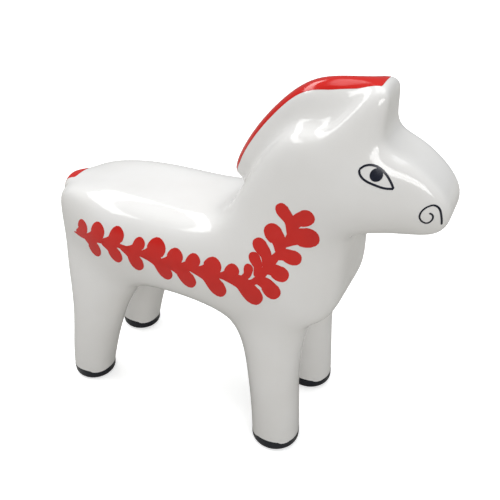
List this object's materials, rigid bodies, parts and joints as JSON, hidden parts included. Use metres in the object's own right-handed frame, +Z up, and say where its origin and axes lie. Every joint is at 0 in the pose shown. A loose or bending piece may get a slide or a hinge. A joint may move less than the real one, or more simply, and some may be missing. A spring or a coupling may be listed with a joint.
{
  "type": "dala horse",
  "caption": "White glazed ceramic dala horse with black hooves, red mane, tail and leaf garlands, and painted eyes and nostrils.",
  "frame": {"origin": "on the table plane under the middle of the horse's length and width", "axes": "+X the way the horse looks, +Y its left side, +Z up"},
  "size_m": [0.1468, 0.054, 0.1379],
  "materials": {
    "cast_white": "clear glossy glaze over white stoneware",
    "hoof_black": "glossy blue-black dipped glaze",
    "folk_red": "fired-on red colour under a clear gloss",
    "line_black": "fired-on blue-black brush line under a clear gloss"
  },
  "bodies": {
    "root": {"cast_body": "cast_white", "hoof_rear_right": "hoof_black", "hoof_rear_left": "hoof_black", "hoof_front_right": "hoof_black", "hoof_front_left": "hoof_black", "tail_band": "folk_red", "mane_band": "folk_red", "garland_right": "folk_red", "garland_left": "folk_red", "eye_outline_right": "line_black", "eye_outline_left": "line_black", "pupil_right": "line_black", "pupil_left": "line_black", "nostril_curl_right": "line_black", "nostril_curl_left": "line_black"}
  },
  "joints": []
}
